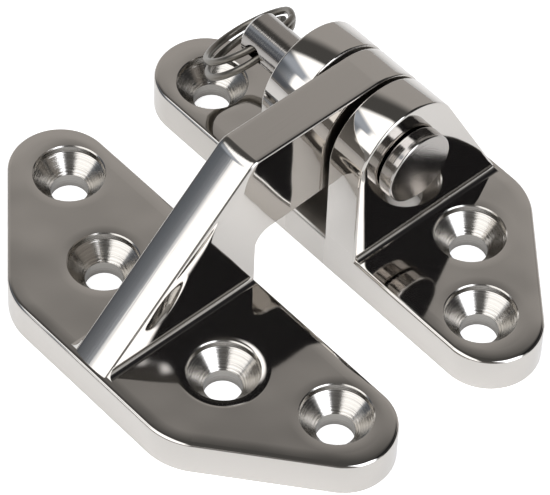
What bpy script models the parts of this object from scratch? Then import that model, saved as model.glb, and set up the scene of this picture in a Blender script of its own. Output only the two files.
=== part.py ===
"""Hatch hinge of polished cast stainless steel.

Two leaves are screwed down flat. The eared leaf carries two ears, the arm leaf a tall thin arm
that reaches over the gap between the leaves and ends in a knuckle between the ears. A headed pin
runs through ears and knuckle, and a split ring through its far end keeps it from coming out.

Metres, +Z up. X runs along the pin towards its head, Y from the arm leaf to the eared leaf. The
origin is the centre of the eared leaf's bottom face.
"""
import math

import bmesh
import bpy
from mathutils import Matrix, Vector

# Outline that both leaves share: a straight inner edge with round ends, two slanted sides and a
# short outer edge.
LEAF_LENGTH = 0.0905
LEAF_DEPTH = 0.0340
LEAF_THICKNESS = 0.0071
LEAF_GAP = 0.0150           # between the two inner edges
OUTER_EDGE = 0.0402         # between its corners, before they are rounded
END_RADIUS = 0.0091
CORNER_RADIUS = 0.0123
RIM_ROUNDING = 0.0006       # along the top rim of a leaf

# Holes for M6 countersunk screws. A place is (distance from the middle, distance from the inner
# edge), and each place has a twin on the other side of the middle.
SCREW_HOLE_RADIUS = 0.0033
SCREW_HEAD_RADIUS = 0.00615
SCREW_HEAD_RECESS = 0.0014  # straight wall above the cone
SCREW_CONE_DEPTH = 0.0029
SCREW_RIM_CHAMFER = 0.0002
END_HOLE_PLACE = (0.0341, 0.0088)
ARM_LEAF_HOLE_PLACE = (0.01525, 0.0169)
EARED_LEAF_HOLE_PLACE = (0.02025, 0.01945)

# Ears, knuckle and arm.
PIN_HEIGHT = 0.0187         # pin axis above the top of the leaves
PIN_DROP = 0.0004           # from the middle of the round top down to the pin axis
KNUCKLE_RADIUS = 0.0109     # round top of the ears and of the knuckle
EAR_THICKNESS = 0.00745
ARM_WIDTH = 0.0080
SIDE_PLAY = 0.00075         # between the knuckle and each ear
ARM_BEND = 0.0017           # from the inner edge of the arm leaf out to the bend on top
BEND_RADIUS = 0.0035
UNDER_RISE = 0.0028         # from the lowest point of the knuckle's round up to the arm's underside
ARCH_RADIUS = 0.0030
EDGE_ROUNDING = 0.0004      # along the edges of the ears and the arm
FOOT_INSET = 0.0009         # from the outer edge of a leaf in to the foot of its slope
EAR_FILLET = 0.0011
ARM_FILLET = 0.0012
FILLET_INSET = 0.0008       # a fillet stops this far short of the rounded edges at its ends
JOIN_STEP = 0.00002         # keeps faces of joined solids from lying in one plane, too small to see

# Pin, with its head at +X and its cross hole near the other end.
PIN_RADIUS = 0.0040
BORE_PLAY = 0.0002          # between the pin and the wall of its bores
BORE_CHAMFER = 0.0004
HEAD_RADIUS = 0.00675
HEAD_THICKNESS = 0.0029
HEAD_PLAY = 0.0003          # between the head and the ear
HEAD_ROUNDING = 0.0004
PIN_TAIL = 0.0133           # how far the pin stands out of the far ear
TAIL_CHAMFER = 0.0005
CROSS_HOLE_INSET = 0.0034   # from the end of the tail to the middle of the cross hole
CROSS_HOLE_TURN = math.radians(7.5)

# Split ring: two turns of round wire, joined by a short step at one side of the ring. The cross
# hole has sprung them a little apart, so they stand further apart at the other side.
WIRE_RADIUS = 0.00065
RING_RADIUS = 0.00850       # to the middle of the wire
TURN_SPACING = 0.0017       # between the two turns in the cross hole
TURN_SPREAD = 0.0006        # more than that at the side away from the step, and less at the step
TURN_SHIFT = 0.0012         # the lower turn lies this much further from the step
RING_SWING = math.radians(-42.5)
STEP_ANGLE = math.radians(50)
STEP_PLACE = math.radians(110)
RING_PLAY = 0.00012         # between the ring and the wall of the cross hole

TURNED_STEPS = 48           # facets around a turned solid
ARC_ERROR = 0.00001         # facets leave a drawn arc by this much at most

inner_y = -LEAF_DEPTH / 2
arm_leaf_y = inner_y - LEAF_GAP
pin_y = inner_y + KNUCKLE_RADIUS + JOIN_STEP
pin_z = LEAF_THICKNESS + PIN_HEIGHT
round_z = pin_z + PIN_DROP
ear_inner_x = ARM_WIDTH / 2 + SIDE_PLAY
ear_outer_x = ear_inner_x + EAR_THICKNESS
bore_radius = PIN_RADIUS + BORE_PLAY
sunk_z = LEAF_THICKNESS / 2  # solids that rise from a leaf start inside it


def clear_scene():
    for old in list(bpy.data.objects):
        bpy.data.objects.remove(old)


def make_material(name, colour, roughness):
    material = bpy.data.materials.new(name)
    material.use_nodes = True
    shader = material.node_tree.nodes["Principled BSDF"]
    shader.inputs["Base Color"].default_value = (*colour, 1.0)
    shader.inputs["Metallic"].default_value = 1.0
    shader.inputs["Roughness"].default_value = roughness
    return material


def add_object(name, bm, material=None):
    """Turn a bmesh into an object; without a material it is a helper that isn't part of the hinge."""
    bmesh.ops.recalc_face_normals(bm, faces=bm.faces)
    mesh = bpy.data.meshes.new(name)
    bm.to_mesh(mesh)
    bm.free()
    mesh.shade_smooth()
    mesh.set_sharp_from_angle(angle=math.radians(35))
    obj = bpy.data.objects.new(name, mesh)
    bpy.context.scene.collection.objects.link(obj)
    if material:
        mesh.materials.append(material)
    else:
        obj.hide_render = True
        obj.display_type = "WIRE"
    return obj


def combine(obj, operation, helper):
    modifier = obj.modifiers.new(f"{operation.lower()} {helper.name}", "BOOLEAN")
    modifier.operation = operation
    modifier.solver = "EXACT"
    modifier.object = helper


def arc(centre, radius, start, end):
    """Points along an arc, in the plane of the outline, both ends included."""
    facet = 2 * math.acos(1 - ARC_ERROR / radius)
    steps = max(2, math.ceil(abs(end - start) / facet))
    points = []
    for i in range(steps + 1):
        angle = start + (end - start) * i / steps
        points.append(Vector((centre[0] + radius * math.cos(angle), centre[1] + radius * math.sin(angle))))
    return points


def rounded_corner(before, corner, after, radius):
    """Arc that rounds the corner between two straight edges."""
    corner = Vector(corner)
    to_before = (Vector(before) - corner).normalized()
    to_after = (Vector(after) - corner).normalized()
    half = to_before.angle(to_after) / 2
    centre = corner + (to_before + to_after).normalized() * radius / math.sin(half)
    first = corner + to_before * radius / math.tan(half) - centre
    last = corner + to_after * radius / math.tan(half) - centre
    start = math.atan2(first.y, first.x)
    turn = (math.atan2(last.y, last.x) - start + math.pi) % math.tau - math.pi
    return arc(centre, radius, start, start + turn)


def extruded(points, shift):
    """Solid swept from a flat outline of 3-D points along a shift; its two end faces come back too."""
    bm = bmesh.new()
    near = bm.faces.new([bm.verts.new(point) for point in points])
    made = bmesh.ops.extrude_face_region(bm, geom=[near])
    bmesh.ops.translate(bm, vec=shift, verts=[v for v in made["geom"] if isinstance(v, bmesh.types.BMVert)])
    far = next(face for face in made["geom"] if isinstance(face, bmesh.types.BMFace))
    return bm, near, far


def round_edges(bm, faces, radius):
    edges = list({edge for face in faces for edge in face.edges})
    bmesh.ops.bevel(bm, geom=edges, offset=radius, offset_type="OFFSET", segments=3, profile=0.5,
                    affect="EDGES", clamp_overlap=True)


def turned(profile):
    """Solid of revolution about Z from (radius, height) points; the first and last lie on the axis."""
    bm = bmesh.new()
    verts = [bm.verts.new((radius, 0.0, height)) for radius, height in profile]
    edges = [bm.edges.new(pair) for pair in zip(verts, verts[1:])]
    bmesh.ops.spin(bm, geom=verts + edges, cent=(0, 0, 0), axis=(0, 0, 1), angle=math.tau,
                   steps=TURNED_STEPS, use_merge=True)
    bmesh.ops.remove_doubles(bm, verts=bm.verts, dist=1e-7)
    return bm


def leaf_outline():
    """Outline of a leaf seen from above, inner edge on y = 0 and outer edge on y = LEAF_DEPTH."""
    end = Vector((LEAF_LENGTH / 2 - END_RADIUS, END_RADIUS))
    corner = Vector((OUTER_EDGE / 2, LEAF_DEPTH))
    to_corner = corner - end
    touch = math.atan2(to_corner.y, to_corner.x) - math.acos(END_RADIUS / to_corner.length)
    side = arc(end, END_RADIUS, -math.pi / 2, touch)
    side += rounded_corner(side[-1], corner, (-corner.x, corner.y), CORNER_RADIUS)
    return side + [Vector((-point.x, point.y)) for point in reversed(side)]


def leaf_plate(name, edge_y, outward, material):
    """Flat leaf with its rim rounded on top; outward is +1 where its outer edge lies at +Y."""
    outline = [Vector((p.x, edge_y + outward * p.y, 0.0)) for p in leaf_outline()]
    bm, _, top = extruded(outline, Vector((0, 0, LEAF_THICKNESS)))
    round_edges(bm, [top], RIM_ROUNDING)
    return add_object(name, bm, material)


def drill_screw_holes(leaf, edge_y, outward, places):
    """Countersunk holes through a leaf, one at each place and one at its twin."""
    top = LEAF_THICKNESS
    cone_top = top - SCREW_HEAD_RECESS
    spare = SCREW_RIM_CHAMFER
    rim = SCREW_HEAD_RADIUS + SCREW_RIM_CHAMFER + spare
    profile = [(0, -spare), (SCREW_HOLE_RADIUS, -spare), (SCREW_HOLE_RADIUS, cone_top - SCREW_CONE_DEPTH),
               (SCREW_HEAD_RADIUS, cone_top), (SCREW_HEAD_RADIUS, top - SCREW_RIM_CHAMFER),
               (rim, top + spare), (0, top + spare)]
    for number, (across, inset) in enumerate(places):
        for side in (-1, 1):
            cutter = add_object(f"{leaf.name}_screw_cutter_{number}_{side}", turned(profile))
            cutter.location = (side * across, edge_y + outward * inset, 0)
            combine(leaf, "DIFFERENCE", cutter)


def upright(profile, low_x, high_x):
    """Solid with a (y, z) side profile, from low_x to high_x."""
    return extruded([Vector((low_x, p[0], p[1])) for p in profile], Vector((high_x - low_x, 0, 0)))


def add_foot_fillet(leaf, profile, face_x, side, low_y, high_y, radius):
    """Concave fillet along the foot of an upright side face, ending under the side profile."""
    inside = radius / 2
    section = arc((radius, radius), radius, -math.pi / 2, -math.pi)
    section += [Vector((-inside, radius)), Vector((-inside, -inside)), Vector((radius, -inside))]
    section = [Vector((face_x + side * p.x, low_y + FILLET_INSET, LEAF_THICKNESS + p.y)) for p in section]
    bm, _, _ = extruded(section, Vector((0, high_y - low_y - 2 * FILLET_INSET, 0)))
    fillet = add_object(f"{leaf.name}_fillet_{'near' if side > 0 else 'far'}", bm)
    limits = sorted((face_x - side * 2 * radius, face_x + side * 2 * radius))
    trim = add_object(f"{fillet.name}_trim", upright(profile, *limits)[0])
    trim.location.z = -FILLET_INSET
    combine(fillet, "INTERSECT", trim)
    combine(leaf, "UNION", fillet)


def add_bore(solid, half_width):
    """Bore for the pin through everything within half_width of the middle."""
    spare = BORE_CHAMFER
    wide = bore_radius + BORE_CHAMFER + spare
    profile = [(0, -half_width - spare), (wide, -half_width - spare),
               (bore_radius, -half_width + BORE_CHAMFER), (bore_radius, half_width - BORE_CHAMFER),
               (wide, half_width + spare), (0, half_width + spare)]
    cutter = add_object(f"{solid.name}_bore_cutter", turned(profile))
    cutter.matrix_world = Matrix.Translation((0, pin_y, pin_z)) @ Matrix.Rotation(math.pi / 2, 4, "Y")
    combine(solid, "DIFFERENCE", cutter)


def ear_profile():
    """Side view of an ear: upright and flush in front, round over the pin, sloping to the outer edge."""
    middle = Vector((pin_y, round_z))
    foot = Vector((inner_y + LEAF_DEPTH - FOOT_INSET, LEAF_THICKNESS))
    to_foot = foot - middle
    touch = math.atan2(to_foot.y, to_foot.x) + math.acos(KNUCKLE_RADIUS / to_foot.length)
    front = Vector((inner_y + JOIN_STEP, sunk_z))
    return [front] + arc(middle, KNUCKLE_RADIUS, math.pi, touch) + [foot, Vector((foot.x, sunk_z))]


def build_eared_leaf(material):
    leaf = leaf_plate("eared_leaf", inner_y, 1, material)
    profile = ear_profile()
    for side, label in ((-1, "far"), (1, "near")):
        limits = sorted((side * ear_inner_x, side * ear_outer_x))
        bm, low_face, high_face = upright(profile, *limits)
        round_edges(bm, [low_face, high_face], EDGE_ROUNDING)
        combine(leaf, "UNION", add_object(f"{label}_ear", bm))
        add_foot_fillet(leaf, profile, side * ear_outer_x, side, inner_y, inner_y + LEAF_DEPTH, EAR_FILLET)
    add_bore(leaf, ear_outer_x)
    drill_screw_holes(leaf, inner_y, 1, (END_HOLE_PLACE, EARED_LEAF_HOLE_PLACE))
    return leaf


def arm_profile():
    """Side view of the arm: slope, bend, level top, knuckle, underside and arch, in that order."""
    top_z = round_z + KNUCKLE_RADIUS
    under_z = round_z - KNUCKLE_RADIUS + UNDER_RISE
    foot = Vector((arm_leaf_y - LEAF_DEPTH + FOOT_INSET, LEAF_THICKNESS))
    bend = Vector((arm_leaf_y - ARM_BEND, top_z))
    arch = Vector((arm_leaf_y - JOIN_STEP, under_z))
    middle = Vector((pin_y, round_z))
    under_angle = math.asin((under_z - round_z) / KNUCKLE_RADIUS)
    profile = [Vector((foot.x, sunk_z)), foot]
    profile += rounded_corner(foot, bend, (pin_y, top_z), BEND_RADIUS)
    profile += arc(middle, KNUCKLE_RADIUS, math.pi / 2, -math.pi - under_angle)
    profile += rounded_corner((pin_y, under_z), arch, (arch.x, sunk_z), ARCH_RADIUS)
    profile.append(Vector((arch.x, sunk_z)))
    return profile


def build_arm_leaf(material):
    leaf = leaf_plate("arm_leaf", arm_leaf_y, -1, material)
    profile = arm_profile()
    bm, low_face, high_face = upright(profile, -ARM_WIDTH / 2, ARM_WIDTH / 2)
    round_edges(bm, [low_face, high_face], EDGE_ROUNDING)
    combine(leaf, "UNION", add_object("arm", bm))
    outer_y = arm_leaf_y - LEAF_DEPTH
    for side in (-1, 1):
        add_foot_fillet(leaf, profile, side * ARM_WIDTH / 2, side, outer_y, arm_leaf_y, ARM_FILLET)
    add_bore(leaf, ARM_WIDTH / 2)
    drill_screw_holes(leaf, arm_leaf_y, -1, (END_HOLE_PLACE, ARM_LEAF_HOLE_PLACE))
    move_origin(leaf, Vector((0, pin_y, pin_z)))
    return leaf


def move_origin(obj, place):
    """Put an object's origin at a place on its joint's axis and leave its shape where it is."""
    obj.data.transform(Matrix.Translation(-place))
    obj.location = place


def cross_hole_frame():
    """Middle and axis of the cross hole."""
    middle = Vector((-ear_outer_x - PIN_TAIL + CROSS_HOLE_INSET, pin_y, pin_z))
    along = Vector((0, math.cos(CROSS_HOLE_TURN), math.sin(CROSS_HOLE_TURN)))
    return middle, along


def ring_sag():
    """How far each turn of the ring bows away from its tangent where the cross hole ends."""
    reach = PIN_RADIUS + TURN_SHIFT / 2
    return RING_RADIUS - math.sqrt(RING_RADIUS ** 2 - reach ** 2)


def cross_hole_radius():
    """Room for both turns of the ring, which bow by half the sag to each side of the axis."""
    spacing = TURN_SPACING + TURN_SPREAD * PIN_RADIUS / RING_RADIUS
    return math.hypot(spacing / 2, ring_sag() / 2) + WIRE_RADIUS + RING_PLAY


def build_pin(material):
    head_x = ear_outer_x + HEAD_PLAY
    tail_x = -ear_outer_x - PIN_TAIL
    face_x = head_x + HEAD_THICKNESS
    profile = [Vector((0, tail_x)), Vector((PIN_RADIUS - TAIL_CHAMFER, tail_x)),
               Vector((PIN_RADIUS, tail_x + TAIL_CHAMFER)), Vector((PIN_RADIUS, head_x))]
    under = Vector((HEAD_RADIUS, head_x))
    rim = Vector((HEAD_RADIUS, face_x))
    profile += rounded_corner((PIN_RADIUS, head_x), under, rim, HEAD_ROUNDING)
    profile += rounded_corner(under, rim, (0, face_x), HEAD_ROUNDING)
    profile.append(Vector((0, face_x)))
    bm = turned(profile)
    bm.transform(Matrix.Rotation(math.pi / 2, 4, "Y"))
    pin = add_object("hinge_pin", bm, material)
    pin.location = (0, pin_y, pin_z)

    middle, along = cross_hole_frame()
    radius = cross_hole_radius()
    reach = PIN_RADIUS + radius
    bm = turned([(0, -reach), (radius, -reach), (radius, reach), (0, reach)])
    cutter = add_object("cross_hole_cutter", bm)
    cutter.matrix_world = Matrix.Translation(middle) @ along.to_track_quat("Z", "Y").to_matrix().to_4x4()
    combine(pin, "DIFFERENCE", cutter)
    return pin


def build_split_ring(material):
    middle, along = cross_hole_frame()
    up = Vector((0, -along.z, along.y))
    out = Vector((-math.cos(RING_SWING), 0, 0)) + math.sin(RING_SWING) * up
    axis = along.cross(out)
    centre = out * (RING_RADIUS - ring_sag() / 2)

    start = STEP_ANGLE / 2
    end = 2 * math.tau - STEP_ANGLE / 2
    steps = round((end - start) / math.tau * TURNED_STEPS)
    curve = bpy.data.curves.new("split_ring", "CURVE")
    curve.dimensions = "3D"
    curve.bevel_depth = WIRE_RADIUS
    curve.bevel_resolution = 3
    curve.use_fill_caps = True
    spline = curve.splines.new("POLY")
    spline.points.add(steps)
    for i, point in enumerate(spline.points):
        turn = start + (end - start) * i / steps
        step = min(max((turn - math.tau) / STEP_ANGLE, -0.5), 0.5)
        level = -math.sin(math.pi * step) / 2
        angle = STEP_PLACE + turn
        height = level * (TURN_SPACING - TURN_SPREAD * math.sin(angle))
        place = centre + RING_RADIUS * (math.cos(angle) * out + math.sin(angle) * along)
        place += height * axis + level * TURN_SHIFT * along
        point.co = (*place, 1.0)
    ring = bpy.data.objects.new("split_ring", curve)
    bpy.context.scene.collection.objects.link(ring)
    ring.location = middle
    curve.materials.append(material)
    return ring


clear_scene()
build_eared_leaf(make_material("polished casting", (0.62, 0.61, 0.59), 0.08))
build_arm_leaf(make_material("polished arm casting", (0.62, 0.61, 0.59), 0.08))
build_pin(make_material("turned pin", (0.60, 0.59, 0.57), 0.14))
build_split_ring(make_material("ring wire", (0.50, 0.49, 0.46), 0.25))
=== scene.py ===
import math

import bmesh
import bpy
from mathutils import Matrix, Vector


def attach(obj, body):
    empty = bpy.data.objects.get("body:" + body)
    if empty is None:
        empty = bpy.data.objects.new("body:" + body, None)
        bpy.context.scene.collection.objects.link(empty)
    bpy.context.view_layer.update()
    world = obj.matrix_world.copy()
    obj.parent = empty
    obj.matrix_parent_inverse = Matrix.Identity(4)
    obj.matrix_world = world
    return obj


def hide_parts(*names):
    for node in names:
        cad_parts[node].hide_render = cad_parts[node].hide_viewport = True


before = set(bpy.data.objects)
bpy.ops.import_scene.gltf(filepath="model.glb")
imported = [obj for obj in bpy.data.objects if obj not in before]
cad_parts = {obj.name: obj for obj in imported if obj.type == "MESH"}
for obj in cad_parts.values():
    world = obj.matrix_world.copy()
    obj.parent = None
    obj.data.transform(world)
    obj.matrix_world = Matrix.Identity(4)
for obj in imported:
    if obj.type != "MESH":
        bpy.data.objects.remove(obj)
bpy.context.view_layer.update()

# Eared leaf: one investment casting of marine stainless steel, AISI 316. Its underside is machined
# flat, and all else is belt-ground and buffed to a mirror. Four M6 countersunk screws hold it down,
# and the pin runs through its two ears.

LEAF_TOP = 0.0071
LEAF_BED = 0.0035            # what rises from a leaf starts this high, inside it
HALF_DEPTH = 0.0170
PIN_AXIS = Vector((0, -0.00608, 0.0258))
ROUND_MIDDLE = Vector((0, -0.00608, 0.0262))
KNUCKLE_RADIUS = 0.0109
EAR_SIDES = (0.00475, 0.0122)
EAR_FRONT = -0.01698
EAR_FOOT = 0.0161
EAR_HOLES = ((0.0341, -0.0082), (0.02025, 0.00245))
FILLETS_END = 0.0085         # the foot fillets stay below this height
EAR_CROWN = 10.5             # the buffed crown of the ears' tops, as a bend of reflections, per metre
EAR_ROLL = 0.22              # how steeply the wheel rolls the ears' fronts off
HOLE_DIP = 0.00003           # how deep the wheel dips round a screw hole


def deselect_all():
    bpy.ops.object.select_all(action="DESELECT")


def pick(kind, test):
    """Selects, in edit mode, the verts, edges or faces that pass a test, and nothing else."""
    bpy.ops.mesh.select_mode(type=kind)
    bpy.ops.mesh.select_all(action="DESELECT")
    mesh = bmesh.from_edit_mesh(bpy.context.object.data)
    for item in {"VERT": mesh.verts, "EDGE": mesh.edges, "FACE": mesh.faces}[kind]:
        if test(item):
            item.select_set(True)
    mesh.select_flush_mode()
    bmesh.update_edit_mesh(bpy.context.object.data)


def draw(name, start, strokes):
    """Draws a line from a point, straight to each next point or round (centre, axis, angle)."""
    deselect_all()
    bpy.ops.mesh.primitive_plane_add(size=0.001)
    piece = bpy.context.object
    piece.name = name
    bpy.ops.object.mode_set(mode="EDIT")
    bpy.ops.mesh.select_mode(type="VERT")
    bpy.ops.mesh.merge(type="CENTER")
    bpy.ops.transform.translate(value=start)
    point = Vector(start)
    for stroke in strokes:
        if len(stroke) == 3 and not hasattr(stroke[0], "__len__"):
            bpy.ops.mesh.extrude_region_move(TRANSFORM_OT_translate={"value": Vector(stroke) - point})
            point = Vector(stroke)
        else:
            centre, axis, degrees = Vector(stroke[0]), stroke[1], stroke[2]
            steps = max(4, round(abs(degrees) / 2))
            bpy.ops.mesh.spin(steps=steps, angle=-math.radians(degrees), center=centre, axis=axis)
            point = centre + Matrix.Rotation(math.radians(degrees), 3, axis) @ (point - centre)
    bpy.ops.mesh.select_all(action="SELECT")
    bpy.ops.mesh.remove_doubles(threshold=0.000001)
    return piece


def fill_and_pull(shift):
    """Fills the drawn outline and pulls it out to a solid."""
    bpy.ops.mesh.edge_face_add()
    bpy.ops.mesh.extrude_region_move(TRANSFORM_OT_translate={"value": shift})
    bpy.ops.mesh.select_all(action="SELECT")
    bpy.ops.mesh.normals_make_consistent(inside=False)


def round_over(radius, segments, test):
    pick("EDGE", test)
    bpy.ops.mesh.bevel(offset=radius, offset_type="OFFSET", segments=segments, profile=0.5, affect="EDGES")
    bpy.ops.object.mode_set(mode="OBJECT")


def turn(name, start, strokes, centre, axis):
    """Draws half a profile and spins it to a turned solid."""
    piece = draw(name, start, strokes)
    bpy.ops.mesh.spin(steps=144, angle=math.tau, center=centre, axis=axis)
    bpy.ops.mesh.select_all(action="SELECT")
    bpy.ops.mesh.remove_doubles(threshold=0.000001)
    bpy.ops.mesh.normals_make_consistent(inside=False)
    bpy.ops.object.mode_set(mode="OBJECT")
    return piece


def combine(piece, tool, operation):
    deselect_all()
    bpy.context.view_layer.objects.active = piece
    piece.select_set(True)
    bpy.ops.object.modifier_add(type="BOOLEAN")
    modifier = piece.modifiers[-1]
    modifier.operation = operation
    modifier.solver = "EXACT"
    modifier.material_mode = "TRANSFER"
    modifier.object = tool
    bpy.ops.object.modifier_apply(modifier=modifier.name)
    bpy.data.objects.remove(tool)


def at_height(element, z):
    return all(abs(vert.co.z - z) < 0.000001 for vert in element.verts)


def leaf_blank(name, inner_y, outward):
    """Flat leaf: straight inner edge, round ends, slanted sides and a short outer edge."""
    end_radius, corner_radius, slant_angle = 0.0091, 0.0123, 50.70
    end = Vector((0.03615, inner_y + outward * end_radius, 0))
    corner = Vector((0.01571, inner_y + outward * (2 * HALF_DEPTH - corner_radius), 0))
    slant = Vector((math.cos(math.radians(slant_angle)), outward * math.sin(math.radians(slant_angle)), 0))
    flip = Vector((-1, 1, 1))
    up = (0, 0, outward)
    return draw(name, (-end.x, inner_y, 0), [
        (end.x, inner_y, 0),
        (end, up, 90 + slant_angle),
        corner + slant * corner_radius,
        (corner, up, 90 - slant_angle),
        (-corner.x, inner_y + outward * 2 * HALF_DEPTH, 0),
        (corner * flip, up, 90 - slant_angle),
        (end + slant * end_radius) * flip,
        (end * flip, up, 90 + slant_angle)])


def pull_leaf():
    """Pulls a leaf's outline up, lets its top fall away over the last 2.7 mm and rounds its rim."""
    step, falls, rim_radius = 0.0009, (0.000060, 0.000030, 0.000010), 0.0006
    rim = LEAF_TOP - sum(falls)
    fill_and_pull((0, 0, rim))
    pick("FACE", lambda face: at_height(face, rim))
    for fall in falls:
        bpy.ops.mesh.inset(thickness=step, depth=fall)
    round_over(rim_radius, 6, lambda edge: at_height(edge, rim))


def foot_fillet(piece, outline, face_x, side, radius, low_y, high_y):
    """Concave fillet where an upright side rises from a leaf, cut off below the side's slope."""
    toe = face_x + side * radius
    inside = face_x - side * radius / 2
    fillet = draw("foot_fillet", (toe, low_y, LEAF_TOP), [
        ((toe, low_y, LEAF_TOP + radius), (0, 1, 0), side * 90),
        (inside, low_y, LEAF_TOP + radius),
        (inside, low_y, LEAF_TOP - radius / 2),
        (toe, low_y, LEAF_TOP - radius / 2),
        (toe, low_y, LEAF_TOP)])
    fill_and_pull((0, high_y - low_y, 0))
    bpy.ops.object.mode_set(mode="OBJECT")
    trim = outline(face_x - 0.005, face_x + 0.005, lowered=0.0006)
    combine(fillet, trim, "INTERSECT")
    combine(piece, fillet, "UNION")


def ear_outline(low_x, high_x, lowered=0.0):
    """Side of an ear: upright front, round over the pin, and a slope down to the outer edge."""
    middle = ROUND_MIDDLE - Vector((0, 0, lowered))
    foot = Vector((0, EAR_FOOT, LEAF_TOP - lowered))
    to_foot = foot - middle
    touch = math.atan2(to_foot.z, to_foot.y) + math.acos(KNUCKLE_RADIUS / to_foot.length)
    ear = draw("ear", (low_x, EAR_FRONT, LEAF_BED - lowered), [
        (low_x, EAR_FRONT, middle.z),
        ((low_x, middle.y, middle.z), (1, 0, 0), math.degrees(touch) - 180),
        (low_x, foot.y, foot.z),
        (low_x, foot.y, LEAF_BED - lowered),
        (low_x, EAR_FRONT, LEAF_BED - lowered)])
    fill_and_pull((high_x - low_x, 0, 0))
    bpy.ops.object.mode_set(mode="OBJECT")
    return ear


def linear(code):
    """Linear colour from a hex sRGB code."""
    parts = [int(code[i:i + 2], 16) / 255 for i in (1, 3, 5)]
    return [p / 12.92 if p <= 0.04045 else ((p + 0.055) / 1.055) ** 2.4 for p in parts] + [1.0]


def add_node(tree, kind, settings=(), inputs=(), output=0):
    """Adds a node and returns one of its outputs. Each input is a value or another node's output."""
    node = tree.nodes.new(kind)
    for name, value in dict(settings).items():
        setattr(node, name, value)
    for place, value in inputs.items() if isinstance(inputs, dict) else enumerate(inputs):
        if isinstance(value, bpy.types.NodeSocket):
            tree.links.new(value, node.inputs[place])
        else:
            node.inputs[place].default_value = value
    return node.outputs[output]


def metal(name, colour):
    """Bare metal of one colour; returns the material, its node tree and its shader."""
    material = bpy.data.materials.new(name)
    material.use_nodes = True
    shader = material.node_tree.nodes["Principled BSDF"]
    shader.inputs["Base Color"].default_value = linear(colour)
    shader.inputs["Metallic"].default_value = 1.0
    return material, material.node_tree, shader


def wear(tree, shader, roughness, height):
    """Gives a metal its roughness and its small heights, in metres."""
    normal = add_node(tree, "ShaderNodeBump", inputs={"Strength": 1.0, "Distance": 1.0, "Height": height})
    tree.links.new(roughness, shader.inputs["Roughness"])
    tree.links.new(normal, shader.inputs["Normal"])


def buffed_steel(name, holes):
    """Mirror-buffed 316 stainless steel. The buffing wheel leaves low waves about 13 mm long, which
    bend reflections, a slight haze in patches 17 mm wide, and a dip round each screw hole. The
    underside is milled flat and not buffed, so it is satin."""
    material, tree, shader = metal(name, "#CBC7C2")
    place = add_node(tree, "ShaderNodeTexCoord", output="Object")
    up = add_node(tree, "ShaderNodeSeparateXYZ", inputs=(place,), output="Z")
    haze = add_node(tree, "ShaderNodeTexNoise", inputs={
        "Vector": place, "Scale": 1 / 0.017, "Detail": 3.0, "Roughness": 0.6})
    haze = add_node(tree, "ShaderNodeMapRange", inputs={"Value": haze, "To Min": 0.03, "To Max": 0.08})
    milled = add_node(tree, "ShaderNodeMath", {"operation": "LESS_THAN"}, (up, 0.00002))
    roughness = add_node(tree, "ShaderNodeMath", {"operation": "MULTIPLY_ADD"}, (milled, 0.25, haze))
    waves = add_node(tree, "ShaderNodeTexNoise", inputs={
        "Vector": place, "Scale": 1 / 0.0133, "Detail": 1.0, "Roughness": 0.3})
    height = add_node(tree, "ShaderNodeMath", {"operation": "MULTIPLY"}, (waves, 0.00018))
    for x, y, dip in holes:
        away = add_node(tree, "ShaderNodeVectorMath", {"operation": "DISTANCE"}, (
            place, (x, y, LEAF_TOP)), "Value")
        rim = add_node(tree, "ShaderNodeMapRange", inputs={
            "Value": away, "From Min": 0.0080, "From Max": 0.0063})
        rim = add_node(tree, "ShaderNodeMath", {"operation": "MULTIPLY"}, (rim, rim))
        height = add_node(tree, "ShaderNodeMath", {"operation": "MULTIPLY_ADD"}, (rim, -dip, height))
    return material, tree, shader, place, roughness, height


# Buffed steel of the eared leaf. The wheel crowns the ears' round tops and rolls their sides off
# towards the front, which draws bright bands there, and it can't reach into the slot, which stays
# as cast and satin.
eared_steel, tree, shader, place, roughness, height = buffed_steel(
    "mirror_buffed_cast_steel_eared", [(side * x, y, HOLE_DIP) for x, y in EAR_HOLES for side in (-1, 1)])
spot = add_node(tree, "ShaderNodeSeparateXYZ", inputs=(place,)).node.outputs
on_ear = add_node(tree, "ShaderNodeMath", {"operation": "GREATER_THAN"}, (spot["Z"], FILLETS_END))
across = add_node(tree, "ShaderNodeMath", {"operation": "ABSOLUTE"}, (spot["X"],))
in_slot = add_node(tree, "ShaderNodeMath", {"operation": "LESS_THAN"}, (across, EAR_SIDES[0] + 0.00015))
roughness = add_node(tree, "ShaderNodeMath", {"operation": "MULTIPLY_ADD"}, (in_slot, 0.27, roughness))
crown = add_node(tree, "ShaderNodeMath", {"operation": "SUBTRACT"}, (across, 0.0080))
crown = add_node(tree, "ShaderNodeMath", {"operation": "MULTIPLY"}, (crown, crown))
crown = add_node(tree, "ShaderNodeMath", {"operation": "MULTIPLY"}, (crown, on_ear))
height = add_node(tree, "ShaderNodeMath", {"operation": "MULTIPLY_ADD"}, (crown, -EAR_CROWN, height))
reach = add_node(tree, "ShaderNodeMapRange", inputs={
    "Value": spot["Z"], "From Min": LEAF_TOP, "From Max": ROUND_MIDDLE.z,
    "To Min": 0.0036, "To Max": 0.0019})
roll = add_node(tree, "ShaderNodeMath", {"operation": "ADD"}, (reach, EAR_FRONT))
roll = add_node(tree, "ShaderNodeMath", {"operation": "SUBTRACT"}, (roll, spot["Y"]))
roll = add_node(tree, "ShaderNodeMath", {"operation": "MAXIMUM"}, (roll, 0.0))
roll = add_node(tree, "ShaderNodeMath", {"operation": "MULTIPLY"}, (roll, on_ear))
roll = add_node(tree, "ShaderNodeMath", {"operation": "MULTIPLY"}, (roll, roll))
roll = add_node(tree, "ShaderNodeMath", {"operation": "DIVIDE"}, (roll, reach))
height = add_node(tree, "ShaderNodeMath", {"operation": "MULTIPLY_ADD"}, (roll, -EAR_ROLL, height))
wear(tree, shader, roughness, height)


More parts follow.
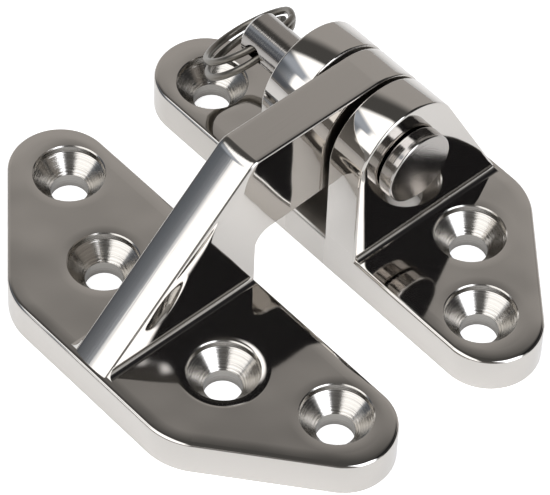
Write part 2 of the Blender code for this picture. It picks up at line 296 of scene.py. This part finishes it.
def turned_steel(name, along, sheen):
    """Steel cut after buffing, which keeps the cutter's rings. Real rings are 0.1 mm apart; these
    are drawn 0.2 mm apart, so that they show, in bands of lighter and darker grey."""
    material, tree, shader = metal(name, "#D6D3CE")
    place = add_node(tree, "ShaderNodeTexCoord", output="Object")
    travel = add_node(tree, "ShaderNodeSeparateXYZ", inputs=(place,), output=along)
    rings = add_node(tree, "ShaderNodeTexNoise", {"noise_dimensions": "1D"}, {
        "W": travel, "Scale": 1 / 0.00022, "Detail": 2.0, "Roughness": 0.6})
    grey = add_node(tree, "ShaderNodeMix", {"data_type": "RGBA"}, {
        0: rings, 6: linear("#9C9893"), 7: linear("#D6D3CE")}, 2)
    tree.links.new(grey, shader.inputs["Base Color"])
    roughness = add_node(tree, "ShaderNodeMapRange", inputs={
        "Value": rings, "To Min": sheen - 0.04, "To Max": sheen + 0.04})
    height = add_node(tree, "ShaderNodeMath", {"operation": "MULTIPLY"}, (rings, 0.000022))
    wear(tree, shader, roughness, height)
    return material


countersunk_steel = turned_steel("turned_countersink_steel", "Z", 0.16)
bored_steel = turned_steel("turned_bore_steel", "X", 0.22)

eared_leaf = leaf_blank("eared_leaf_casting", -HALF_DEPTH, 1)
pull_leaf()
eared_leaf.data.materials.append(eared_steel)
for side in (-1, 1):
    low_x, high_x = sorted(side * x for x in EAR_SIDES)
    ear = ear_outline(low_x, high_x)
    bpy.ops.object.mode_set(mode="EDIT")
    round_over(0.0004, 4, lambda edge: abs(edge.verts[0].co.x - edge.verts[1].co.x) < 0.000001)
    combine(eared_leaf, ear, "UNION")
for side in (-1, 1):
    foot_fillet(eared_leaf, ear_outline, side * EAR_SIDES[1], side, 0.0011, -0.0164, 0.0164)


def bore(piece, half_width):
    """Drills the pin's bore, 8.4 mm across and broken at its rims, out to a half width on each side."""
    wide, rim, wall = 0.0050, 0.0004, 0.0042
    x, y, z = half_width, PIN_AXIS.y, PIN_AXIS.z
    drill = turn("bore_drill", (-x - rim, y, z), [
        (-x - rim, y, z + wide), (-x + rim, y, z + wall), (x - rim, y, z + wall), (x + rim, y, z + wide),
        (x + rim, y, z)], PIN_AXIS, (1, 0, 0))
    drill.data.materials.append(bored_steel)
    combine(piece, drill, "DIFFERENCE")


def countersink(piece, x, y):
    """Drills an M6 screw hole with its cone and the straight recess above it."""
    hole, recess, cone_foot, cone_top = 0.0033, 0.00615, LEAF_TOP - 0.0043, LEAF_TOP - 0.0014
    below, edge = -0.001, 0.0002
    drill = turn("countersink_drill", (x, y, below), [
        (x + hole, y, below), (x + hole, y, cone_foot), (x + recess, y, cone_top),
        (x + recess, y, LEAF_TOP - edge), (x + recess + 2 * edge, y, LEAF_TOP + edge),
        (x, y, LEAF_TOP + edge)], (x, y, 0), (0, 0, 1))
    drill.data.materials.append(countersunk_steel)
    combine(piece, drill, "DIFFERENCE")


def smooth_finish(piece):
    """Smooth shading that keeps flat faces flat, as buffing leaves them."""
    deselect_all()
    bpy.context.view_layer.objects.active = piece
    piece.select_set(True)
    bpy.ops.object.shade_smooth_by_angle(angle=math.radians(30))
    bpy.ops.object.modifier_add(type="WEIGHTED_NORMAL")
    piece.modifiers[-1].keep_sharp = True
    bpy.ops.object.modifier_apply(modifier=piece.modifiers[-1].name)


bore(eared_leaf, EAR_SIDES[1])
for side in (-1, 1):
    for x, y in EAR_HOLES:
        countersink(eared_leaf, side * x, y)
smooth_finish(eared_leaf)
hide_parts("eared_leaf")
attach(eared_leaf, "eared_leaf")

# Arm leaf: the second casting, of the same steel and finish. Its thin arm rises over the hatch's
# seal, bends level and ends in the knuckle between the ears. The long slope is crowned and only
# belt-ground, so it keeps fine lines along its length.

ARM_LEAF_EDGE = -0.0320
ARM_HALF_WIDTH = 0.0040
ARM_FOOT = -0.0651
ARM_BEND = -0.0337
ARM_TOP = 0.0371
ARM_UNDERSIDE = 0.0181
ARCH_FACE = -0.03202
BEND_REACH = 0.0014
SLOPE_CROWN_RADIUS = 0.030
CROWN_MIDDLE = 0.0005        # the belt took a little more from the slope's left half
ARM_HOLES = ((0.0341, -0.0408), (0.01525, -0.0489))
ARM_ROLL = 0.24              # how steeply the wheel rolls the arm's flanks off


def arm_outline(low_x, high_x, lowered=0.0, steps=1):
    """Side of the arm: slope, bend, level top, knuckle, underside and arch."""
    middle = ROUND_MIDDLE - Vector((0, 0, lowered))
    top = ARM_TOP - lowered
    under = ARM_UNDERSIDE - lowered
    below = math.degrees(math.acos((middle.z - under) / KNUCKLE_RADIUS))
    arm = draw("arm", (low_x, ARM_FOOT, LEAF_BED - lowered), [
        (low_x, ARM_FOOT, LEAF_TOP - lowered),
        (low_x, ARM_BEND, top),
        (low_x, middle.y, top),
        ((low_x, middle.y, middle.z), (1, 0, 0), below - 270),
        (low_x, ARCH_FACE, under),
        (low_x, ARCH_FACE, LEAF_BED - lowered),
        (low_x, ARM_FOOT, LEAF_BED - lowered)])
    bpy.ops.mesh.edge_face_add()
    for y, z, offset, segments in ((ARM_BEND, top, BEND_REACH, 12), (ARCH_FACE, under, 0.0030, 16)):
        pick("VERT", lambda vert: (vert.co.yz - Vector((y, z))).length < 0.00001)
        bpy.ops.mesh.bevel(offset=offset, offset_type="OFFSET", segments=segments, profile=0.5,
                           affect="VERTICES")
    pick("FACE", lambda face: True)
    for _ in range(steps):
        bpy.ops.mesh.extrude_region_move(TRANSFORM_OT_translate={"value": ((high_x - low_x) / steps, 0, 0)})
    bpy.ops.mesh.select_all(action="SELECT")
    bpy.ops.mesh.normals_make_consistent(inside=False)
    bpy.ops.object.mode_set(mode="OBJECT")
    return arm


slope = Vector((0, ARM_BEND - ARM_FOOT, ARM_TOP - LEAF_TOP)).normalized()
slope_normal = Vector((0, -slope.z, slope.y))

# Buffed steel of the arm leaf. The wheel rolls the arm's flanks off towards the slope, far at its
# foot and little at its bend. That draws a bright strip there, which wanders in bends 9 mm long. It
# dips deeper round the screw hole beside the arm.
(outer_x, outer_y), (inner_x, inner_y) = ARM_HOLES
arm_steel, tree, shader, place, roughness, height = buffed_steel("mirror_buffed_cast_steel_arm", (
    (-outer_x, outer_y, HOLE_DIP), (outer_x, outer_y, HOLE_DIP),
    (-inner_x, inner_y, HOLE_DIP), (inner_x, inner_y, 5 * HOLE_DIP)))
rise = add_node(tree, "ShaderNodeSeparateXYZ", inputs=(place,), output="Z")
on_arm = add_node(tree, "ShaderNodeMath", {"operation": "GREATER_THAN"}, (rise, FILLETS_END))
depth = add_node(tree, "ShaderNodeVectorMath", {"operation": "DOT_PRODUCT"}, (place, slope_normal), "Value")
depth = add_node(tree, "ShaderNodeMath", {"operation": "SUBTRACT"}, (
    depth, slope_normal.dot(Vector((0, ARM_BEND, ARM_TOP)))))
reach = add_node(tree, "ShaderNodeMapRange", inputs={
    "Value": rise, "From Min": LEAF_TOP, "From Max": ARM_TOP, "To Min": 0.0064, "To Max": 0.0019})
wander = add_node(tree, "ShaderNodeTexNoise", inputs={
    "Vector": place, "Scale": 1 / 0.0091, "Detail": 0.0})
wander = add_node(tree, "ShaderNodeMath", {"operation": "ADD"}, (wander, 0.5))
reach = add_node(tree, "ShaderNodeMath", {"operation": "MULTIPLY"}, (reach, wander))
roll = add_node(tree, "ShaderNodeMath", {"operation": "ADD"}, (depth, reach))
roll = add_node(tree, "ShaderNodeMath", {"operation": "MAXIMUM"}, (roll, 0.0))
roll = add_node(tree, "ShaderNodeMath", {"operation": "MULTIPLY"}, (roll, on_arm))
roll = add_node(tree, "ShaderNodeMath", {"operation": "MULTIPLY"}, (roll, roll))
roll = add_node(tree, "ShaderNodeMath", {"operation": "DIVIDE"}, (roll, reach))
height = add_node(tree, "ShaderNodeMath", {"operation": "MULTIPLY_ADD"}, (roll, -ARM_ROLL, height))
wear(tree, shader, roughness, height)

# Belt-ground steel of the slope and the arm's other narrow faces, under the same buffing. A fine
# belt leaves lines 0.1 mm apart that run along the arm, as a satin streak in the shine. They are
# drawn 0.24 mm apart, so that they show.
belt_steel, tree, shader = metal("belt_ground_cast_steel", "#CBC7C2")
place = add_node(tree, "ShaderNodeTexCoord", output="Object")
stretched = add_node(tree, "ShaderNodeMapping", inputs={
    "Vector": place, "Scale": (1 / 0.00024, 1 / 0.020, 1 / 0.020)})
lines = add_node(tree, "ShaderNodeTexNoise", inputs={
    "Vector": stretched, "Scale": 1.0, "Detail": 2.0, "Roughness": 0.6})
roughness = add_node(tree, "ShaderNodeMapRange", inputs={"Value": lines, "To Min": 0.05, "To Max": 0.14})
height = add_node(tree, "ShaderNodeMath", {"operation": "MULTIPLY"}, (lines, 0.000004))
wear(tree, shader, roughness, height)

arm_leaf = leaf_blank("arm_leaf_casting", ARM_LEAF_EDGE, -1)
pull_leaf()
arm_leaf.data.materials.append(arm_steel)
arm = arm_outline(-ARM_HALF_WIDTH, ARM_HALF_WIDTH, steps=8)
arm.data.materials.append(arm_steel)
arm.data.materials.append(belt_steel)
for face in arm.data.polygons:
    face.material_index = int(abs(face.normal.x) < 0.5 and face.normal.z > -0.1)
for vert in arm.data.vertices:
    share = min(max((ARM_BEND + BEND_REACH - vert.co.y) / (1.7 * BEND_REACH), 0.0), 1.0)
    if vert.co.z > LEAF_TOP - 0.00001 and vert.co.y < ARM_BEND + BEND_REACH:
        off_crown = vert.co.x - CROWN_MIDDLE
        vert.co -= slope_normal * share * off_crown ** 2 / (2 * SLOPE_CROWN_RADIUS)
bpy.ops.object.mode_set(mode="EDIT")
round_over(0.0004, 4, lambda edge: all(
    abs(abs(vert.co.x) - ARM_HALF_WIDTH) < 0.000001 for vert in edge.verts))
combine(arm_leaf, arm, "UNION")
for side in (-1, 1):
    foot_fillet(arm_leaf, arm_outline, side * ARM_HALF_WIDTH, side, 0.0012, -0.0654, -0.0326)
bore(arm_leaf, ARM_HALF_WIDTH)
for side in (-1, 1):
    for x, y in ARM_HOLES:
        countersink(arm_leaf, side * x, y)
smooth_finish(arm_leaf)
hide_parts("arm_leaf")
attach(arm_leaf, "arm_leaf")

# Hinge pin: an 8 mm clevis pin, turned from bar with its flat head and polished in the lathe. Faint
# rings stay on its head and shank. The cross hole in its tail takes the split ring.

PIN_TAIL_END = -0.0255
HEAD_BACK = 0.0125
HEAD_FACE = 0.0154
SHANK_RADIUS = 0.0040
HEAD_RADIUS = 0.00675
HEAD_EDGE = 0.0004
TAIL_CHAMFER = 0.0005
TAIL_TAPER = 0.055           # seen in reflections only

# Lathe-polished steel. The emery strip leaves rings 0.1 mm apart round the pin and on its head,
# drawn 0.3 mm apart, so that they show. Handling has scuffed it in grains of 0.4 mm, and its tail
# tapers off a little under the strip.
pin_steel, tree, shader = metal("lathe_polished_bar_steel", "#ADA9A5")
place = add_node(tree, "ShaderNodeTexCoord", output="Object")
travel = add_node(tree, "ShaderNodeSeparateXYZ", inputs=(place,), output="X")
spoke = add_node(tree, "ShaderNodeVectorMath", {"operation": "MULTIPLY"}, (place, (0, 1, 1)), "Vector")
radius = add_node(tree, "ShaderNodeVectorMath", {"operation": "DISTANCE"}, (spoke, PIN_AXIS), "Value")
strip = add_node(tree, "ShaderNodeMath", {"operation": "ADD"}, (travel, radius))
rings = add_node(tree, "ShaderNodeTexNoise", {"noise_dimensions": "1D"}, {
    "W": strip, "Scale": 1 / 0.00029, "Detail": 2.0, "Roughness": 0.7})
scuffs = add_node(tree, "ShaderNodeTexNoise", inputs={
    "Vector": place, "Scale": 1 / 0.0004, "Detail": 2.0, "Roughness": 0.6})
roughness = add_node(tree, "ShaderNodeMapRange", inputs={"Value": scuffs, "To Min": 0.04, "To Max": 0.20})
height = add_node(tree, "ShaderNodeMath", {"operation": "MULTIPLY"}, (rings, 0.000006))
height = add_node(tree, "ShaderNodeMath", {"operation": "MULTIPLY_ADD"}, (scuffs, 0.000004, height))
taper = add_node(tree, "ShaderNodeMath", {"operation": "ADD"}, (travel, EAR_SIDES[1]))
taper = add_node(tree, "ShaderNodeMath", {"operation": "MINIMUM"}, (taper, 0.0))
height = add_node(tree, "ShaderNodeMath", {"operation": "MULTIPLY_ADD"}, (taper, TAIL_TAPER, height))
wear(tree, shader, roughness, height)

y, z = PIN_AXIS.y, PIN_AXIS.z
flat = z + HEAD_RADIUS - HEAD_EDGE
hinge_pin = turn("clevis_pin", (PIN_TAIL_END, y, z), [
    (PIN_TAIL_END, y, z + SHANK_RADIUS - TAIL_CHAMFER),
    (PIN_TAIL_END + TAIL_CHAMFER, y, z + SHANK_RADIUS),
    (HEAD_BACK, y, z + SHANK_RADIUS),
    (HEAD_BACK, y, flat),
    ((HEAD_BACK + HEAD_EDGE, y, flat), (0, 1, 0), 90),
    (HEAD_FACE - HEAD_EDGE, y, z + HEAD_RADIUS),
    ((HEAD_FACE - HEAD_EDGE, y, flat), (0, 1, 0), 90),
    (HEAD_FACE, y, z)], PIN_AXIS, (1, 0, 0))
hinge_pin.data.materials.append(pin_steel)
CROSS_HOLE = Vector((-0.0221, PIN_AXIS.y, PIN_AXIS.z))
CROSS_HOLE_TURN = math.radians(7.5)
CROSS_HOLE_RADIUS = 0.00197
deselect_all()
bpy.ops.mesh.primitive_cylinder_add(vertices=64, radius=CROSS_HOLE_RADIUS, depth=0.0115,
                                    location=CROSS_HOLE, rotation=(CROSS_HOLE_TURN - math.pi / 2, 0, 0))
combine(hinge_pin, bpy.context.object, "DIFFERENCE")
smooth_finish(hinge_pin)
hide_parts("hinge_pin")
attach(hinge_pin, "hinge_pin")

# Split ring: hard-drawn stainless wire, 1.3 mm thick, wound to two flat turns with a short step
# between them. It hangs in the pin's cross hole and is left as drawn, dull grey with fine streaks.

RING_RADIUS = 0.0085
WIRE_RADIUS = 0.00065
HANG = 0.007824              # from the cross hole's middle to the ring's
TURN_SPACING = 0.0017
TURN_SPREAD = 0.0006
TURN_SHIFT = 0.0012
RING_SWING = math.radians(42.5)
STEP_ANGLE = math.radians(50)
STEP_PLACE = math.radians(110)
along = Vector((0, math.cos(CROSS_HOLE_TURN), math.sin(CROSS_HOLE_TURN)))
up = Vector((0, -along.z, along.y))
out = Vector((-math.cos(RING_SWING), 0, 0)) - math.sin(RING_SWING) * up
ring_axis = along.cross(out)
ring_centre = CROSS_HOLE + out * HANG

# Hard-drawn wire steel, dull grey. The die leaves streaks along the wire 0.1 mm apart, drawn
# 0.25 mm apart, so that they show.
wire_steel, tree, shader = metal("hard_drawn_wire_steel", "#807C75")
place = add_node(tree, "ShaderNodeTexCoord", output="Object")
outward = add_node(tree, "ShaderNodeVectorMath", {"operation": "SUBTRACT"}, (place, ring_centre))
lift = add_node(tree, "ShaderNodeVectorMath", {"operation": "DOT_PRODUCT"}, (outward, ring_axis), "Value")
spread = add_node(tree, "ShaderNodeVectorMath", {"operation": "LENGTH"}, (outward,), "Value")
section = add_node(tree, "ShaderNodeCombineXYZ", inputs=(lift, spread))
streaks = add_node(tree, "ShaderNodeTexNoise", inputs={
    "Vector": section, "Scale": 1 / 0.00025, "Detail": 2.0, "Roughness": 0.6})
roughness = add_node(tree, "ShaderNodeMapRange", inputs={"Value": streaks, "To Min": 0.22, "To Max": 0.42})
height = add_node(tree, "ShaderNodeMath", {"operation": "MULTIPLY"}, (streaks, 0.000012))
wear(tree, shader, roughness, height)

deselect_all()
bpy.ops.curve.primitive_bezier_curve_add()
split_ring = bpy.context.object
split_ring.name = "split_ring_wire"
wire = split_ring.data
wire.splines.clear()
wire.dimensions = "3D"
wire.bevel_depth = WIRE_RADIUS
wire.bevel_resolution = 8
wire.use_fill_caps = True
start = STEP_ANGLE / 2
end = 2 * math.tau - STEP_ANGLE / 2
steps = 320
spline = wire.splines.new("POLY")
spline.points.add(steps)
for i, point in enumerate(spline.points):
    angle = start + (end - start) * i / steps
    step = min(max((angle - math.tau) / STEP_ANGLE, -0.5), 0.5)
    level = -math.sin(math.pi * step) / 2
    angle += STEP_PLACE
    height = level * (TURN_SPACING - TURN_SPREAD * math.sin(angle))
    spot = ring_centre + RING_RADIUS * (math.cos(angle) * out + math.sin(angle) * along)
    spot += height * ring_axis + level * TURN_SHIFT * along
    point.co = (*spot, 1.0)
bpy.ops.object.convert(target="MESH")
split_ring = bpy.context.object
bpy.ops.object.shade_smooth_by_angle(angle=math.radians(40))
split_ring.data.materials.clear()
split_ring.data.materials.append(wire_steel)
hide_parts("split_ring")
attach(split_ring, "split_ring")

# Studio: a white sweep under the hinge, a dim tent around it and a few soft panels that the
# polished faces mirror.

deselect_all()
bpy.ops.mesh.primitive_plane_add(size=6.0, location=(0, 0, -0.00005))
floor = bpy.context.object
floor.name = "studio_floor"

# White paper. The camera sees it plain white. Polished faces see it with a painted glow, brightest near the
# hinge, and painted shade darkens it where the hinge shuts it in.
floor_paper = bpy.data.materials.new("white_paper")
floor_paper.use_nodes = True
tree = floor_paper.node_tree
paper = tree.nodes["Principled BSDF"]
paper.inputs["Roughness"].default_value = 0.9
seen = add_node(tree, "ShaderNodeLightPath", output="Is Camera Ray")
mirrored = seen.node.outputs["Is Glossy Ray"]
# Painted shade: ambient occlusion darkens the paper's colour where the hinge shuts it in, as polished faces
# see it.
open_sky = add_node(tree, "ShaderNodeAmbientOcclusion", inputs={"Distance": 0.010}, output="AO")
open_sky = add_node(tree, "ShaderNodeMapRange", inputs={
    "Value": open_sky, "From Min": 0.12, "From Max": 0.50})
painted_shade_mask = add_node(tree, "ShaderNodeMath", {"operation": "SUBTRACT"}, (1.0, open_sky))
painted_shade_mask = add_node(tree, "ShaderNodeMath", {"operation": "MULTIPLY"}, (painted_shade_mask, mirrored))
shade = add_node(tree, "ShaderNodeMix", {"data_type": "RGBA"}, {
    0: painted_shade_mask, 6: linear("#E8E8E8"), 7: linear("#303030")}, 2)
tree.links.new(shade, paper.inputs["Base Color"])
place = add_node(tree, "ShaderNodeTexCoord", output="Object")
away = add_node(tree, "ShaderNodeVectorMath", {"operation": "LENGTH"}, (place,), "Value")
# Painted glow for polished faces: brightest near the hinge, fading with distance and under the painted
# shade. The camera sees the paper evenly white.
glow = add_node(tree, "ShaderNodeMapRange", inputs={
    "Value": away, "From Min": 0.05, "From Max": 0.40, "To Min": 0.44, "To Max": 0.10})
glow = add_node(tree, "ShaderNodeMath", {"operation": "MULTIPLY"}, (glow, open_sky))
glow = add_node(tree, "ShaderNodeMath", {"operation": "MULTIPLY"}, (glow, mirrored))
glow = add_node(tree, "ShaderNodeMath", {"operation": "MULTIPLY_ADD"}, (seen, 0.85, glow))
glow = add_node(tree, "ShaderNodeEmission", inputs={"Color": (1, 1, 1, 1), "Strength": glow})
both = add_node(tree, "ShaderNodeAddShader", inputs=(paper.outputs[0], glow))
tree.links.new(both, tree.nodes["Material Output"].inputs["Surface"])
floor.data.materials.append(floor_paper)

# The tent: grey cloth all round that gets darker overhead.
world = bpy.data.worlds.new("studio")
bpy.context.scene.world = world
world.use_nodes = True
tree = world.node_tree
toward = add_node(tree, "ShaderNodeTexCoord", output="Generated")
up = add_node(tree, "ShaderNodeSeparateXYZ", inputs=(toward,), output="Z")
tent = add_node(tree, "ShaderNodeValToRGB", inputs={"Fac": up})
stops = tent.node.color_ramp.elements
stops[0].position, stops[0].color = 0.0, (0.30, 0.29, 0.28, 1)
stops[1].position, stops[1].color = 0.80, (0.09, 0.088, 0.085, 1)
stops.new(0.42).color = (0.20, 0.195, 0.19, 1)


def direction(azimuth, elevation):
    azimuth, elevation = math.radians(azimuth), math.radians(elevation)
    return Vector((math.sin(azimuth) * math.cos(elevation), -math.cos(azimuth) * math.cos(elevation),
                   math.sin(elevation)))


def soft_panel(light, azimuth, elevation, half_wide, half_high, soft, shade, tilt=0.0):
    """Hangs a soft-edged panel in the tent; angles in degrees, shade in linear light."""
    facing = direction(azimuth, elevation)
    across = Matrix.Rotation(math.radians(tilt), 3, facing) @ Vector((0, 0, 1)).cross(facing).normalized()
    above = facing.cross(across)
    ahead = add_node(tree, "ShaderNodeVectorMath", {"operation": "DOT_PRODUCT"}, (toward, facing), "Value")
    mask = 1.0
    for axis, half in ((across, half_wide), (above, half_high)):
        aside = add_node(tree, "ShaderNodeVectorMath", {"operation": "DOT_PRODUCT"}, (toward, axis), "Value")
        angle = add_node(tree, "ShaderNodeMath", {"operation": "ARCTAN2"}, (aside, ahead))
        angle = add_node(tree, "ShaderNodeMath", {"operation": "ABSOLUTE"}, (angle,))
        edge = add_node(tree, "ShaderNodeMapRange", {"interpolation_type": "SMOOTHSTEP"}, {
            "Value": angle, "From Min": math.radians(half + soft), "From Max": math.radians(half - soft)})
        mask = add_node(tree, "ShaderNodeMath", {"operation": "MULTIPLY"}, (edge, mask))
    return add_node(tree, "ShaderNodeMix", {"data_type": "RGBA"}, {0: mask, 6: light, 7: (*shade, 1)}, 2)


# Each panel's azimuth, elevation, half width, half height, soft edge, light and tilt.
light = tent
for panel in (
        (222, 18, 50, 34.5, 7.5, (0.49, 0.47, 0.453)),      # back: the grey of the level faces
        (150, 52, 32, 14, 6, (0.02, 0.02, 0.022)),          # black cloth, right of the back
        (140, 14, 30, 25, 6, (0.05, 0.05, 0.05)),
        (304, 30, 16, 13, 7, (0.155, 0.175, 0.205)),        # cool dusk on the left
        (308, 12, 23, 7, 3, (0.12, 0.13, 0.15)),
        (330, 28, 6, 9, 8, (0.47, 0.52, 0.60)),
        (320, 43, 13, 7, 5, (0.51, 0.56, 0.64)),
        (340, 59, 25, 14, 3, (2.0, 2.0, 2.0), -25),         # soft boxes in front
        (356, 43, 20, 7, 2, (2.0, 2.0, 2.0)),
        (359, 31, 28, 11, 1.5, (2.0, 2.0, 2.0)),
        (92, 31, 17, 36, 3, (3.3, 3.4, 3.6)),               # window on the right
        (113, 12, 6.5, 11, 3, (0.6, 0.6, 0.6))):
    light = soft_panel(light, *panel)
tree.links.new(light, tree.nodes["Background"].inputs["Color"])
bpy.context.scene.view_settings.view_transform = "Standard"

# Camera: a long lens, 685 mm from the hinge. It looks down at 50 degrees from the arm leaf's side
# and is rolled by a few degrees, as the photograph is.
azimuth, elevation, roll, distance = 46.28, 50.23, math.radians(2.60), 0.6847
target = Vector((0.00113, -0.02493, 0.0071))
back = direction(azimuth, elevation)
right = direction(azimuth + 90, 0)
upward = back.cross(right)
turned_right = right * math.cos(roll) + upward * math.sin(roll)
turned_up = upward * math.cos(roll) - right * math.sin(roll)
deselect_all()
bpy.ops.object.camera_add()
camera = bpy.context.object
camera.data.sensor_width = 36
camera.data.lens = 265.0
camera.data.clip_end = 20
turned = Matrix((turned_right, turned_up, back)).transposed().to_4x4()
camera.matrix_world = Matrix.Translation(target + back * distance) @ turned
bpy.context.scene.camera = camera
